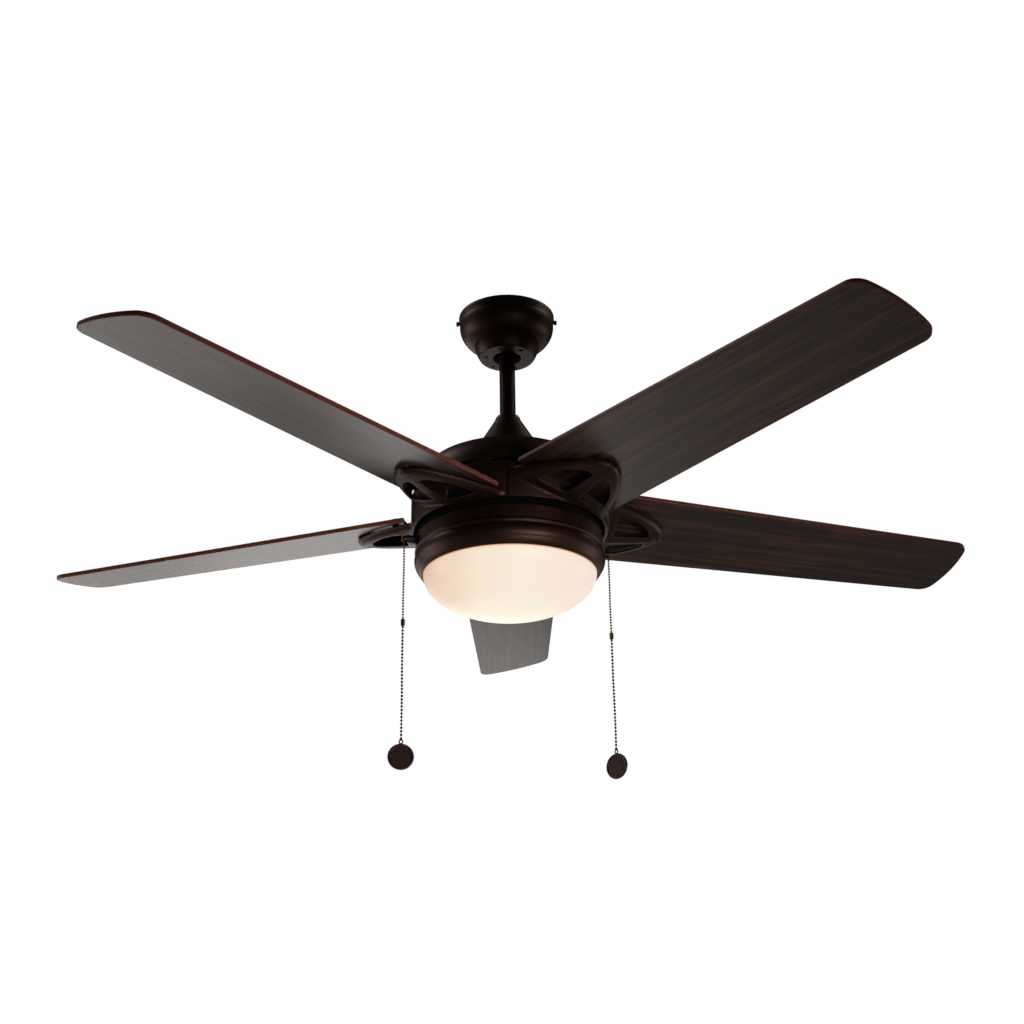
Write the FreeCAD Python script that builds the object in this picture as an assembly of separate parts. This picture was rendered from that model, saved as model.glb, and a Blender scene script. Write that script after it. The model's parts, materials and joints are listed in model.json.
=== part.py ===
import FreeCAD, Part
import math
import os

# Ceiling fan with a light bowl, hung from a ball on a short downrod.
# Millimetres. Origin: centre of the ceiling plate's top face, +Z up, so the fan hangs in -Z.
# Azimuths are in degrees from -Y towards +X. Heights named z... are absolute.

# Driving dimensions.
sweepRadius = 660.0          # 52 inch fan
bladeCount = 5
firstBladeAzimuth = 35.5
bladeZ = -296.0              # underside of the blades, on the fan's axis
bladePitch = 12.6
bladeDroop = 0.7
bladeThick = 5.6
bladeRootHalf = 74.5
bladeTipHalf = 58.3
bladeRootU = 117.5           # corners of the root end
bladeRootHollow = 13.5
bladeTipCrown = 8.6
bladeTipRound = 20.0

canopyRimR = 65.5
canopyTopZ = -0.2
canopyHeight = 61.6
canopyKinkR = 44.2
canopyKinkZ = -41.2
canopyPlateR = 36.5
canopyHoleR = 19.3
ventRing = 29.5
ventR = (1.9, 3.4)
sheet = 1.2

boltSpacing = 89.0           # holes of a round ceiling box, 3.5 inch
boltHoleR = 2.6
bracketSheet = 2.5
ballR = 23.0
ballZ = -34.0
ballSeatGap = 0.3
rodR = 10.65
rodBoreR = 8.1
rodTopZ = ballZ + 12.0
rodBottomZ = bladeZ + 116.0

couplingR = 15.5
couplingTopZ = bladeZ + 132.0
couplingFlangeR = 30.0
domeTopZ = bladeZ + 80.0
domeRimZ = bladeZ + 29.3
domeRimR = 125.3
coverTopZ = bladeZ + 145.0
coverTipR = 17.2
coverHoleR = 11.4
coverBaseR = 52.0

bandR = 127.6
bandInnerR = 124.0
bandTopZ = bladeZ + 22.8
bandBottomZ = bladeZ - 25.2
bandSeam = 1.4               # gap between neighbouring arms' band panels

motorR = 88.0
motorTopZ = bladeZ + 56.0
motorSplitZ = bladeZ + 22.0
motorBottomZ = bladeZ - 10.0
motorWall = 3.0
shaftR = 8.5
shaftBoreR = 5.0
shaftBottomZ = bladeZ - 44.0
bearingR = 17.5
bearingHigh = 8.0
bearingFit = 0.05            # running fit of the bearings on the shaft
shieldInset = 0.5
airGap = 0.5
cageInnerR = 74.0

housingTopZ = bladeZ - 31.5
housingStepZ = bladeZ - 52.5
housingWallR = 120.4
housingRidgeR = 122.6        # thin bead between the wall and the bulge
housingBulgeR = 122.6
housingRimZ = bladeZ - 82.0
housingRimR = 112.1
housingSheet = 1.5
shieldR = 118.0              # ring that closes the view through the gap under the arms
shieldTopZ = bladeZ - 17.5
glassRimR = 111.4
glassRimZ = bladeZ - 80.8
glassDeep = 54.0
glassWall = 3.0
collarR = 99.0
bulbR = 18.0

pullAzimuth = -76.0
pullZ = bladeZ - 42.0
fanTipR = 142.0
lightTipR = 137.0
pullTravel = 8.0
chainTopZ = pullZ - 0.5
chainJoinZ = bladeZ - 154.0
chainEndZ = bladeZ - 301.0
chainR = 1.2
chainLowR = 1.6
connectorHigh = 9.0
connectorR = 2.6
fobR = 16.0
fobThick = 3.2

V = FreeCAD.Vector
UP = V(0, 0, 1)


# Small tools.
def polar(radius, azimuth, z=0.0):
    a = math.radians(azimuth)
    return V(radius * math.sin(a), -radius * math.cos(a), z)


def turned(shape, azimuth):
    """The shape, built along -Y, turned to an azimuth about the fan's axis."""
    copy = shape.copy()
    copy.rotate(V(0, 0, 0), UP, azimuth)
    return copy


def ring(outer, inner, low, high):
    body = Part.makeCylinder(outer, high - low, V(0, 0, low))
    return body.cut(Part.makeCylinder(inner, high - low + 2, V(0, 0, low - 1)))


def box(x, y, z):
    """A box from three (low, high) pairs."""
    return Part.makeBox(x[1] - x[0], y[1] - y[0], z[1] - z[0], V(x[0], y[0], z[0]))


def rod(start, end, radius):
    along = end - start
    return Part.makeCylinder(radius, along.Length, start, along)


def spun(steps):
    """Closed outline in (radius, z) spun about the axis. A step is a point, or a
    pair (middle, end) for an arc; the last point joins the first by a line."""
    def at(p):
        return V(p[0], 0, p[1])
    edges = []
    here = steps[0]
    for step in steps[1:]:
        if isinstance(step[0], tuple):
            edges.append(Part.Arc(at(here), at(step[0]), at(step[1])).toShape())
            here = step[1]
        else:
            edges.append(Part.makeLine(at(here), at(step)))
            here = step
    if at(here).distanceToPoint(at(steps[0])) > 1e-6:
        edges.append(Part.makeLine(at(here), at(steps[0])))
    return Part.Face(Part.Wire(edges)).revolve(V(0, 0, 0), UP, 360)


def fused(shapes):
    whole = shapes[0]
    for shape in shapes[1:]:
        whole = whole.fuse(shape)
    return whole.removeSplitter()


def group(shapes):
    """Separate solids that share one node."""
    return Part.makeCompound(shapes)


def panHead(start, direction, shankR, length, headR, headHigh):
    """A screw with its head's underside at start and its shank along direction."""
    shank = Part.makeCylinder(shankR, length, start, direction)
    head = Part.makeCylinder(headR, headHigh, start, direction * -1)
    slotDeep = headHigh * 0.45
    across = direction.cross(UP if abs(direction.z) < 0.9 else V(1, 0, 0))
    across.normalize()
    low = start - direction * headHigh
    width = headR * 0.28
    for way in (across, direction.cross(across)):
        side = direction.cross(way)
        corner = low - way * headR * 0.6 - side * width / 2
        pts = [corner, corner + way * headR * 1.2, corner + way * headR * 1.2 + side * width,
               corner + side * width, corner]
        cutter = Part.Face(Part.makePolygon(pts)).extrude(direction * slotDeep)
        head = head.cut(cutter)
    return shank.fuse(head).removeSplitter()


def inBladeFrame(shape, azimuth):
    """Places a shape drawn with X along the blade, Y across it and Z up from its underside."""
    copy = shape.copy()
    copy.rotate(V(0, 0, 0), V(1, 0, 0), -bladePitch)
    copy.rotate(V(0, 0, 0), V(0, 1, 0), bladeDroop)
    copy.rotate(V(0, 0, 0), UP, azimuth - 90.0)
    copy.translate(V(0, 0, bladeZ))
    return copy


# Ceiling side.
def hangerBracket():
    ears = 60.3
    top = box((-ears, ears), (-18, 18), (-bracketSheet, 0))
    parts = [top]
    seatLow = ballZ - 13.0
    for side in (-1, 1):
        x = sorted((side * (ears - 2), side * ears))
        parts.append(box(x, (-11, 11), (-12, -1)))
        x = sorted((side * 30.0, side * (30.0 - bracketSheet)))
        parts.append(box(x, (-22, 22), (seatLow, -1)))
    parts.append(box((-30, 30), (-22, 22), (seatLow, seatLow + 4.5)))
    body = fused(parts)
    body = body.cut(Part.makeSphere(ballR + ballSeatGap, V(0, 0, ballZ)))
    body = body.cut(box((-rodR - 1.2, rodR + 1.2), (0, 40), (seatLow - 1, seatLow + 6)))
    for side in (-1, 1):
        hole = Part.makeCylinder(boltHoleR, 10, V(side * boltSpacing / 2, 0, -8))
        body = body.cut(hole)
        body = body.cut(rod(V(side * 55, 0, -7), V(side * 66, 0, -7), 1.9))
    return body


def canopy():
    plateZ = canopyTopZ - canopyHeight

    def outline(t):
        kink = (canopyKinkR - t, canopyKinkZ + t * 0.4)
        return [
            (canopyRimR - t, canopyTopZ), (canopyRimR - t, -4.5),
            (canopyRimR - 0.8 - t, -5.2), (canopyRimR - 0.8 - t, -8.6),
            (canopyRimR - 1.5 - t, -9.4),
            ((canopyRimR - 2.8 - t, -23.5), (canopyRimR - 8.4 - t, -33.5 + t * 0.3)),
            ((canopyRimR - 13.6 - t, -38.4 + t * 0.4), kink),
            ((canopyKinkR - 2.2 - t, -51.5 + t * 0.5), (canopyPlateR + 1.2 - t, plateZ + 1.2 + t)),
            (canopyPlateR - t, plateZ + t),
        ]
    outer = spun(outline(0.0) + [(0, plateZ), (0, canopyTopZ)])
    inner = outline(sheet)
    inner[0] = (inner[0][0], 1.0)
    shell = outer.cut(spun(inner + [(0, plateZ + sheet), (0, 1.0)]))
    shell = shell.cut(Part.makeCylinder(canopyHoleR, 10, V(0, 0, plateZ - 2)))
    for i in range(6):
        vent = Part.makeCylinder(ventR[i % 2], 6, polar(ventRing, 60.0 * i - 20.0, plateZ - 2))
        shell = shell.cut(vent)
    for side in (-1, 1):
        shell = shell.cut(rod(V(side * 60, 0, -7), V(side * 70, 0, -7), 2.0))
    return shell


def canopyScrews():
    screws = []
    for side in (-1, 1):
        start = V(side * (canopyRimR + 0.05), 0, -7)
        screws.append(panHead(start, V(-side, 0, 0), 1.8, 9.0, 3.2, 3.6))
    return group(screws)


# Hanging side.
def hangerBall():
    ball = Part.makeSphere(ballR, V(0, 0, ballZ))
    ball = ball.cut(box((-30, 30), (-30, 30), (ballZ + 13.0, ballZ + 30)))
    ball = ball.cut(Part.makeCylinder(rodR, 60, V(0, 0, ballZ - 30)))
    ball = ball.cut(rod(V(0, 0, ballZ + 6), V(0, -rodR - 9, ballZ + 6), 2.0))
    return ball.cut(rod(V(-30, 0, ballZ + 4), V(30, 0, ballZ + 4), 3.0))


def ballPin():
    return rod(V(-20.5, 0, ballZ + 4), V(20.5, 0, ballZ + 4), 3.0)


def ballSetScrew():
    return rod(V(0, -rodR, ballZ + 6), V(0, -rodR - 9, ballZ + 6), 2.0)


def downrod():
    tube = ring(rodR, rodBoreR, rodBottomZ, rodTopZ)
    tube = tube.cut(rod(V(-30, 0, ballZ + 4), V(30, 0, ballZ + 4), 3.0))
    return tube.cut(rod(V(-30, 0, pinZ()), V(30, 0, pinZ()), 3.0))


def pinZ():
    return couplingTopZ - 9.0


def coupling():
    collar = Part.makeCylinder(couplingR, couplingTopZ - domeTopZ, V(0, 0, domeTopZ))
    flange = Part.makeCylinder(couplingFlangeR, 4.0, V(0, 0, domeTopZ))
    body = collar.fuse(flange)
    body = body.cut(Part.makeCylinder(rodR, 60, V(0, 0, rodBottomZ)))
    body = body.cut(Part.makeCylinder(shaftR, 60, V(0, 0, domeTopZ - 10)))
    body = body.cut(rod(V(-30, 0, pinZ()), V(30, 0, pinZ()), 3.0))
    for side in (-1, 1):
        body = body.cut(rod(V(0, 0, pinZ() - 8), V(0, side * 30, pinZ() - 8), 2.5))
    for i in range(3):
        body = body.cut(Part.makeCylinder(2.1, 8, polar(24.0, 60.0 + 120.0 * i, domeTopZ - 2)))
    return body.removeSplitter()


def couplingScrews():
    z = pinZ() - 8
    return group([rod(V(0, side * rodR, z), V(0, side * (couplingR + 3), z), 2.5)
                  for side in (-1, 1)])


def clevisPin():
    z = pinZ()
    pin = rod(V(-19.5, 0, z), V(19.0, 0, z), 3.0)
    head = rod(V(-19.5, 0, z), V(-17.5, 0, z), 4.4)
    return pin.fuse(head).cut(rod(V(17.3, 0, z - 6), V(17.3, 0, z + 6), 0.8))


def cotterPin():
    z = pinZ()
    leg = rod(V(17.3, 0, z - 5.5), V(17.3, 0, z + 4), 0.75)
    bow = Part.makeTorus(2.0, 0.75, V(17.3, 0, z + 5.6), V(1, 0, 0))
    return leg.fuse(bow).removeSplitter()


def couplingCover():
    tipZ = coverTopZ - 6.0

    def outline(t):
        return [(coverHoleR, coverTopZ - t), (13.6 - t * 0.5, coverTopZ - t),
                ((coverTipR - 1.3 - t, coverTopZ - 2.2 - t * 0.5), (coverTipR - t, tipZ - t * 0.5)),
                (coverBaseR - 2.0 - t, domeTopZ + 3.4 + t * 0.5),
                (coverBaseR - t, domeTopZ + 0.1)]
    outer = spun(outline(0.0) + [(coverHoleR, domeTopZ + 0.1)])
    inner = outline(sheet)
    inner[-1] = (inner[-1][0], domeTopZ - 1)
    return outer.cut(spun([(10.0, inner[0][1])] + inner[1:] + [(10.0, domeTopZ - 1)]))


def motorDome():
    def outline(t):
        return [(60.0, domeTopZ - t),
                ((86.0 - t * 0.2, domeTopZ - 5.0 - t), (106.0 - t * 0.6, domeTopZ - 14.0 - t)),
                ((118.5 - t, domeTopZ - 28.0 - t * 0.5), (domeRimR - 0.6 - t, domeRimZ + 3.0)),
                (domeRimR - t, domeRimZ)]
    outer = spun([(0, domeTopZ)] + outline(0.0) + [(0, domeRimZ)])
    inner = outline(1.5)
    inner[-1] = (inner[-1][0], domeRimZ - 1)
    shell = outer.cut(spun([(0, domeTopZ - 1.5)] + inner + [(0, domeRimZ - 1)]))
    shell = shell.cut(Part.makeCylinder(shaftR + 0.3, 10, V(0, 0, domeTopZ - 5)))
    for i in range(3):
        shell = shell.cut(Part.makeCylinder(2.1, 8, polar(24.0, 60.0 + 120.0 * i, domeTopZ - 4)))
    for i in range(30):
        vent = box((-1.2, 1.2), (34, 50), (domeTopZ - 4, domeTopZ + 4))
        shell = shell.cut(turned(vent, 12.0 * i))
    return shell


def domeScrews():
    screws = []
    for i in range(3):
        start = polar(24.0, 60.0 + 120.0 * i, domeTopZ + 4.0)
        screws.append(panHead(start, V(0, 0, -1), 2.1, 7.0, 4.0, 2.4))
    return group(screws)


def motorShaft():
    top = rodBottomZ - 2.0
    shaft = ring(shaftR, shaftBoreR, shaftBottomZ, top)
    collar = ring(shaftR + 4.0, shaftR - 0.5, bladeZ + 6.0, bladeZ + 8.0)
    return shaft.fuse(collar).removeSplitter()


def statorCore():
    outer = cageInnerR - airGap
    core = ring(outer, 26.0, bladeZ + 8.0, bladeZ + 34.0)
    core = core.fuse(ring(26.5, shaftR, bladeZ + 8.0, bladeZ + 34.0))
    for i in range(16):
        slot = box((-3.2, 3.2), (42, outer - 5), (bladeZ, bladeZ + 40))
        mouth = box((-1.2, 1.2), (outer - 6, outer + 5), (bladeZ, bladeZ + 40))
        core = core.cut(turned(slot.fuse(mouth), 22.5 * i))
    return core


def statorWindings():
    wires = []
    for face, crownZ in ((bladeZ + 8.0, bladeZ - 3.0), (bladeZ + 34.0, bladeZ + 44.5)):
        bulge = math.copysign(1.6, crownZ - face)
        wires.append(spun([(44, face), (66, face), (66, crownZ),
                           ((55, crownZ + bulge), (44, crownZ))]))
    for i in range(16):
        wires.append(turned(box((-2.9, 2.9), (44, 66), (bladeZ + 8, bladeZ + 34)), 22.5 * i))
    return fused(wires)


def mountingPlate():
    low, high = housingTopZ, housingTopZ + 2.5
    plate = ring(58.0, shaftR, low, high)
    for i in range(3):
        plate = plate.cut(Part.makeCylinder(1.9, 8, polar(48.0, 30.0 + 120.0 * i, low - 2)))
    return plate


def shaftNut():
    across = 24.0
    low = housingTopZ - 10.0
    pts = [polar(across / math.sqrt(3), 60.0 * i, low) for i in range(7)]
    nut = Part.Face(Part.makePolygon(pts)).extrude(V(0, 0, 7.0))
    return nut.cut(Part.makeCylinder(shaftR, 30, V(0, 0, low - 5)))


def lowerHousing():
    def outline(t):
        return [(housingWallR - 1.4 - t, housingTopZ - t), (housingWallR - t, housingTopZ - 1.4 - t),
                (housingWallR - t, housingStepZ + 4.0),
                ((housingWallR + 0.5 - t, housingStepZ + 1.9), (housingWallR + 1.8 - t, housingStepZ + 0.9)),
                ((housingRidgeR - t, housingStepZ), (housingWallR + 1.6 - t, housingStepZ - 0.9)),
                ((housingWallR + 0.8 - t, housingStepZ - 2.6), (housingWallR + 1.0 - t, housingStepZ - 4.6)),
                ((housingBulgeR + 0.2 - t, housingStepZ - 12.5),
                 (housingBulgeR - 3.2 - t, housingStepZ - 21.3)),
                ((housingBulgeR - 6.0 - t, housingRimZ + 3.4), (housingRimR + 1.2 - t, housingRimZ)),
                (housingRimR - 0.3, housingRimZ)]
    outer = spun([(0, housingTopZ)] + outline(0.0) + [(0, housingRimZ)])
    inner = outline(housingSheet)
    inner[-1] = (inner[-2][1][0], housingRimZ - 1)
    shell = outer.cut(spun([(0, housingTopZ - housingSheet)] + inner + [(0, housingRimZ - 1)]))
    shell = shell.cut(Part.makeCylinder(20.0, 10, V(0, 0, housingTopZ - 5)))
    shell = shell.fuse(ring(shieldR, shieldR - housingSheet, housingTopZ - 0.5, shieldTopZ))
    for i in range(3):
        shell = shell.cut(Part.makeCylinder(1.9, 8, polar(48.0, 30.0 + 120.0 * i, housingTopZ - 4)))
    for side in (0.0, 180.0):
        a = pullAzimuth + side
        shell = shell.cut(rod(polar(100, a, pullZ), polar(140, a, pullZ), 5.2))
    slot = box((-9, 9), (110, 130), (pullZ - 3.6, pullZ + 3.6))
    return shell.cut(slot)


def housingScrews():
    screws = []
    for i in range(3):
        start = polar(48.0, 30.0 + 120.0 * i, housingTopZ - housingSheet)
        screws.append(panHead(start, UP, 1.9, 5.5, 3.6, 2.2))
    return group(screws)


def pullSwitch(azimuth, tipR):
    """Switch body inside the housing, with its threaded nipple through the wall."""
    z = pullZ
    body = box((-16, 16), (-112, -82), (z - 9.5, z + 7.5))
    barrel = rod(V(0, -110, z), V(0, -tipR + 6.5, z), 5.0)
    bore = rod(V(0, -100, z), V(0, -150, z), 2.0)
    return turned(fused([body, barrel]).cut(bore), azimuth)


def nippleTip(azimuth, tipR):
    """Brass mouthpiece that the chain runs over, and its lock nut on the housing."""
    z = pullZ
    start = tipR - 6.5
    tip = Part.makeSphere(4.4, V(0, -tipR + 4.4, z))
    tip = tip.fuse(rod(V(0, -start, z), V(0, -start - 2.5, z), 3.2))
    tip = tip.cut(box((-6, 6), (-start, -start + 10), (z - 6, z + 6)))
    tip = tip.cut(rod(V(0, -start + 2.5, z), V(0, -tipR + 3, z), 2.0))
    tip = tip.cut(rod(V(0, -tipR + 4.0, z - 7), V(0, -tipR + 4.0, z), 2.0))
    nut = rod(V(0, -housingWallR - 0.1, z), V(0, -housingWallR - 2.6, z), 6.6)
    nut = nut.cut(rod(V(0, -100, z), V(0, -140, z), 5.0))
    return turned(group([tip.removeSplitter(), nut]), azimuth)


def capacitor():
    z = housingTopZ - 20.0
    shell = box((-24, 24), (30, 50), (z - 12, z + 12))
    leads = [rod(V(x, 40, z - 12), V(x, 40, z - 16), 1.5) for x in (-8, 8)]
    return fused([shell] + leads)


def reverseSwitch():
    z = pullZ
    body = box((-14, 14), (98, 116.5), (z - 7, z + 7))
    return body.cut(box((-8, 8), (110, 120), (z - 3.2, z + 3.2)))


def reverseKnob():
    z = pullZ
    middle = -4.5                # it rests at one end of its slot
    stem = box((middle - 3.2, middle + 3.2), (112, 121.8), (z - 2.6, z + 2.6))
    for i in range(3):
        groove = box((middle - 4, middle + 4), (121.2, 123), (z - 1.9 + 1.6 * i, z - 1.3 + 1.6 * i))
        stem = stem.cut(groove)
    return stem


def lightPan():
    z = housingTopZ - 38.0
    floor = ring(106.0, 6.0, z, z + 1.2)
    wall = ring(106.0, 104.8, glassRimZ + 3.0, z + 1.2)
    lip = ring(112.0, 104.8, glassRimZ + 3.0, glassRimZ + 4.2)
    posts = [rod(polar(60.0, 90.0 + 120.0 * i, z + 1.2),
                 polar(60.0, 90.0 + 120.0 * i, housingTopZ - housingSheet), 4.0) for i in range(3)]
    tabs = []
    for i in range(3):
        tab = box((-9, 9), (-105.2, -100.2), (glassRimZ + 3.0, glassRimZ + 4.2))
        tabs.append(turned(tab, 25.0 + 120.0 * i))
    pan = fused([floor, wall, lip] + posts + tabs)
    for i in range(3):
        pan = pan.cut(Part.makeCylinder(1.8, 12, polar(60.0, 90.0 + 120.0 * i, z - 2)))
    return pan


def panScrews():
    z = housingTopZ - 38.0
    screws = []
    for i in range(3):
        screws.append(panHead(polar(60.0, 90.0 + 120.0 * i, z), UP, 1.8, 9.0, 3.6, 2.2))
    return group(screws)


def lampSockets():
    z = bladeZ - 94.0
    panZ = housingTopZ - 38.0
    parts = []
    for side in (-1, 1):
        shell = rod(V(side * 6, 0, z), V(side * 30, 0, z), 13.5)
        shell = shell.cut(rod(V(side * 10, 0, z), V(side * 40, 0, z), 11.2))
        foot = box(sorted((side * 6, side * 20)), (-7, 7), (z + 12.0, panZ))
        parts.append(fused([shell, foot]))
    return group(parts)


def bulbs():
    z = bladeZ - 94.0
    parts = []
    for side in (-1, 1):
        neck = math.sqrt(bulbR ** 2 - 15.6 ** 2)
        profile = spun([(0, 0), (10.8, 0), (10.8, 20), (15.6, 38 - neck),
                        ((bulbR, 38), (0, 38 + bulbR))])
        profile.rotate(V(0, 0, 0), V(0, 1, 0), side * 90)
        profile.translate(V(side * 11, 0, z))
        parts.append(profile)
    return group(parts)


def glassBowl():
    def cap(radius, deep, rim):
        unit = Part.makeSphere(1.0, V(0, 0, 0))
        stretch = FreeCAD.Matrix()
        stretch.scale(radius, radius, deep)
        bowl = unit.transformGeometry(stretch)
        bowl.translate(V(0, 0, rim))
        return bowl.cut(box((-200, 200), (-200, 200), (rim, rim + 200)))
    outer = cap(glassRimR, glassDeep, glassRimZ)
    inner = cap(glassRimR - glassWall, glassDeep - glassWall, glassRimZ)
    bowl = outer.cut(inner)
    shoulder = ring(glassRimR, collarR - glassWall, glassRimZ - 0.01, glassRimZ + 2.8)
    collar = ring(collarR, collarR - glassWall, glassRimZ, glassRimZ + 8.0)
    lugs = []
    for i in range(3):
        lug = box((-7, 7), (-collarR - 4.0, -collarR + 1.0), (glassRimZ + 4.4, glassRimZ + 7.4))
        lugs.append(turned(lug, 25.0 + 120.0 * i))
    return fused([bowl, shoulder, collar] + lugs)


# Spinning side.
def rotorUpperCover():
    body = spun([(shaftR + 1.0, motorTopZ), (motorR - 10, motorTopZ),
                 ((motorR - 2.5, motorTopZ - 3.5), (motorR, motorTopZ - 12)),
                 (motorR, motorSplitZ), (motorR - motorWall, motorSplitZ),
                 (motorR - motorWall, motorTopZ - 12),
                 ((motorR - 5.0, motorTopZ - 6), (motorR - 12, motorTopZ - motorWall)),
                 (bearingR + 3.0, motorTopZ - motorWall), (bearingR + 3.0, motorTopZ - 12),
                 (bearingR, motorTopZ - 12), (bearingR, motorTopZ - 3), (shaftR + 1.0, motorTopZ - 3)])
    for i in range(12):
        vent = box((-2.2, 2.2), (34, 62), (motorTopZ - 5, motorTopZ + 5))
        body = body.cut(turned(vent, 30.0 * i))
    return body


def rotorLowerCover():
    z = motorBottomZ
    body = spun([(shaftR + 1.0, z), (motorR - 8, z), ((motorR - 2.5, z + 2.5), (motorR, z + 8)),
                 (motorR, motorSplitZ), (motorR - motorWall, motorSplitZ),
                 (motorR - motorWall, z + 8), ((motorR - 5.0, z + 4.6), (motorR - 10, z + motorWall)),
                 (bearingR + 3.0, z + motorWall), (bearingR + 3.0, z + 12),
                 (bearingR, z + 12), (bearingR, z + 3), (shaftR + 1.0, z + 3)])
    for i in range(bladeCount):
        for off in (-15.0, 15.0):
            hole = Part.makeCylinder(2.4, 8, V(off, -72.0, z - 3))
            body = body.cut(turned(hole, firstBladeAzimuth + 72.0 * i))
    return body


def rotorCage():
    body = ring(motorR - motorWall, cageInnerR, bladeZ + 8.0, bladeZ + 34.0)
    for i in range(36):
        body = body.cut(turned(box((-1.0, 1.0), (76, 80), (bladeZ, bladeZ + 40)), 10.0 * i))
    return body


def bearing(low):
    """Shielded ball bearing; the shields stand a little inside its faces."""
    high = low + bearingHigh
    body = ring(bearingR, shaftR + bearingFit, low, high)
    for face in (low - 1.0, high - shieldInset):
        body = body.cut(ring(15.4, 11.0, face, face + 1.0 + shieldInset))
    return body


armStations = [
    # distance out, half width, keel depth below the blade, depth of the upright edge
    (96.0, 77.0, 24.0, 4.6), (118.0, 71.0, 23.0, 5.0), (140.0, 62.5, 21.0, 5.4),
    (165.0, 52.0, 17.5, 5.8), (187.0, 37.5, 14.0, 6.0), (201.0, 25.0, 11.5, 6.2),
    (210.0, 14.0, 9.6, 6.4), (214.0, 6.0, 9.0, 6.4),
]
armTopW = -2.0               # the arm's rim hangs this far under the blade


def armLoft(inset, top):
    """The keeled body of an arm, shrunk by inset, closed at height top."""
    sections = []
    for out, half, keel, edge in armStations:
        a = max(half - inset, 1.5)
        k = keel - inset
        e = max(edge - inset * 0.4, 1.0)
        points = [(-a, top), (-a, armTopW - e), (-a * 0.86, -e - 0.42 * (k - e)),
                  (-a * 0.58, -e - 0.80 * (k - e)), (0.0, -k),
                  (a * 0.62, -e - 0.55 * (k - e)), (a * 0.88, -e - 0.22 * (k - e)),
                  (a, armTopW - e), (a, top)]
        u = out - (inset if out > 205 else 0.0)
        sections.append(Part.makePolygon([V(u, v, w) for v, w in points + points[:1]]))
    return Part.makeLoft(sections, True, True)


armWindow = [(190.0, 8.0), (189.0, 17.0), (163.0, 38.0), (134.0, 49.0), (139.0, 11.0)]
bossPlaces = [(197.0, 0.0, -9.0), (137.0, -55.0, -8.0), (137.0, 55.0, -9.0)]
ribEnds = (124.0, 197.0)     # the rib under the keel, from the band to the outer boss
ribHalf = 1.5
bossR = 4.6
screwHoleR = 1.6
sleeveR = 2.6                # rubber sleeve in the blade


def windowCutter(side):
    """Prism through an arm on one side of its keel, with rounded corners."""
    pts = [V(u, side * v, -40) for u, v in armWindow]
    face = Part.Face(Part.makePolygon(pts + pts[:1]))
    prism = face.extrude(V(0, 0, 37.0))
    edges = [e for e in prism.Edges if abs(e.tangentAt(e.FirstParameter).z) > 0.9]
    return prism.makeFillet(3.5, edges)


def armRib():
    """Upright rib along the keel, from the skin up to the rim."""
    return box(ribEnds, (-ribHalf, ribHalf), (-40, armTopW))


def segmentPrism(azimuth, low, high):
    """Everything between the two seams of one arm's share of the band."""
    halfStep = 180.0 / bladeCount
    gapAngle = math.degrees(bandSeam / 2 / bandR)
    far = 420.0
    corners = [V(0, 0, low), polar(far, -halfStep + gapAngle, low), polar(far * 1.2, 0, low),
               polar(far, halfStep - gapAngle, low), V(0, 0, low)]
    return turned(Part.Face(Part.makePolygon(corners)).extrude(V(0, 0, high - low)), azimuth)


def bladeArm(azimuth):
    shell = armLoft(0.0, armTopW).cut(armLoft(2.6, armTopW + 5))
    for side in (-1, 1):
        shell = shell.cut(windowCutter(side))
    body = armLoft(0.8, armTopW - 0.5)
    inside = [armRib().common(body)]
    inside += [Part.makeCylinder(bossR, -low, V(u, v, low)) for u, v, low in bossPlaces]
    shell = fused([shell] + inside)
    for u, v, low in bossPlaces:
        shell = shell.cut(Part.makeCylinder(screwHoleR, 9, V(u, v, -8)))
    shell = inBladeFrame(shell, azimuth)
    shell = shell.cut(Part.makeCylinder(bandInnerR + 0.5, 120, V(0, 0, bladeZ - 60)))
    keep = Part.makeCylinder(400, bandTopZ - bandBottomZ - 0.2, V(0, 0, bandBottomZ + 0.1))
    segment = segmentPrism(azimuth, bandBottomZ - 1, bandTopZ + 1)
    panel = ring(bandR, bandInnerR, bandBottomZ, bandTopZ)
    tongueZ = motorBottomZ - 4.0
    tongue = box((-25, 25), (-bandInnerR + 1.0, -60), (tongueZ, motorBottomZ))
    tongue = tongue.common(Part.makeCylinder(bandInnerR + 0.4, 60, V(0, 0, tongueZ - 10)))
    for off in (-15.0, 15.0):
        tongue = tongue.cut(Part.makeCylinder(2.4, 10, V(off, -72.0, tongueZ - 3)))
    shell = shell.common(keep).common(segment)
    return fused([panel.common(segment), shell, turned(tongue, azimuth)])


def blade(azimuth):
    tipU = sweepRadius
    shoulderU = tipU - bladeTipCrown
    edges = [
        Part.makeLine(V(bladeRootU, -bladeRootHalf, 0), V(shoulderU, -bladeTipHalf, 0)),
        Part.Arc(V(shoulderU, -bladeTipHalf, 0), V(tipU, 0, 0), V(shoulderU, bladeTipHalf, 0)).toShape(),
        Part.makeLine(V(shoulderU, bladeTipHalf, 0), V(bladeRootU, bladeRootHalf, 0)),
        Part.Arc(V(bladeRootU, bladeRootHalf, 0), V(bladeRootU + bladeRootHollow, 0, 0),
                 V(bladeRootU, -bladeRootHalf, 0)).toShape(),
    ]
    board = Part.Face(Part.Wire(edges)).extrude(V(0, 0, bladeThick))
    tips = [e for e in board.Edges if abs(e.tangentAt(e.FirstParameter).z) > 0.9
            and e.Vertexes[0].X > shoulderU - 5]
    board = board.makeFillet(bladeTipRound, tips)
    roots = [e for e in board.Edges if abs(e.tangentAt(e.FirstParameter).z) > 0.9
             and e.Vertexes[0].X < bladeRootU + 5]
    board = board.makeFillet(3.0, roots)
    for u, v, low in bossPlaces:
        board = board.cut(Part.makeCylinder(sleeveR, 20, V(u, v, -5)))
    return inBladeFrame(board, azimuth)


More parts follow.
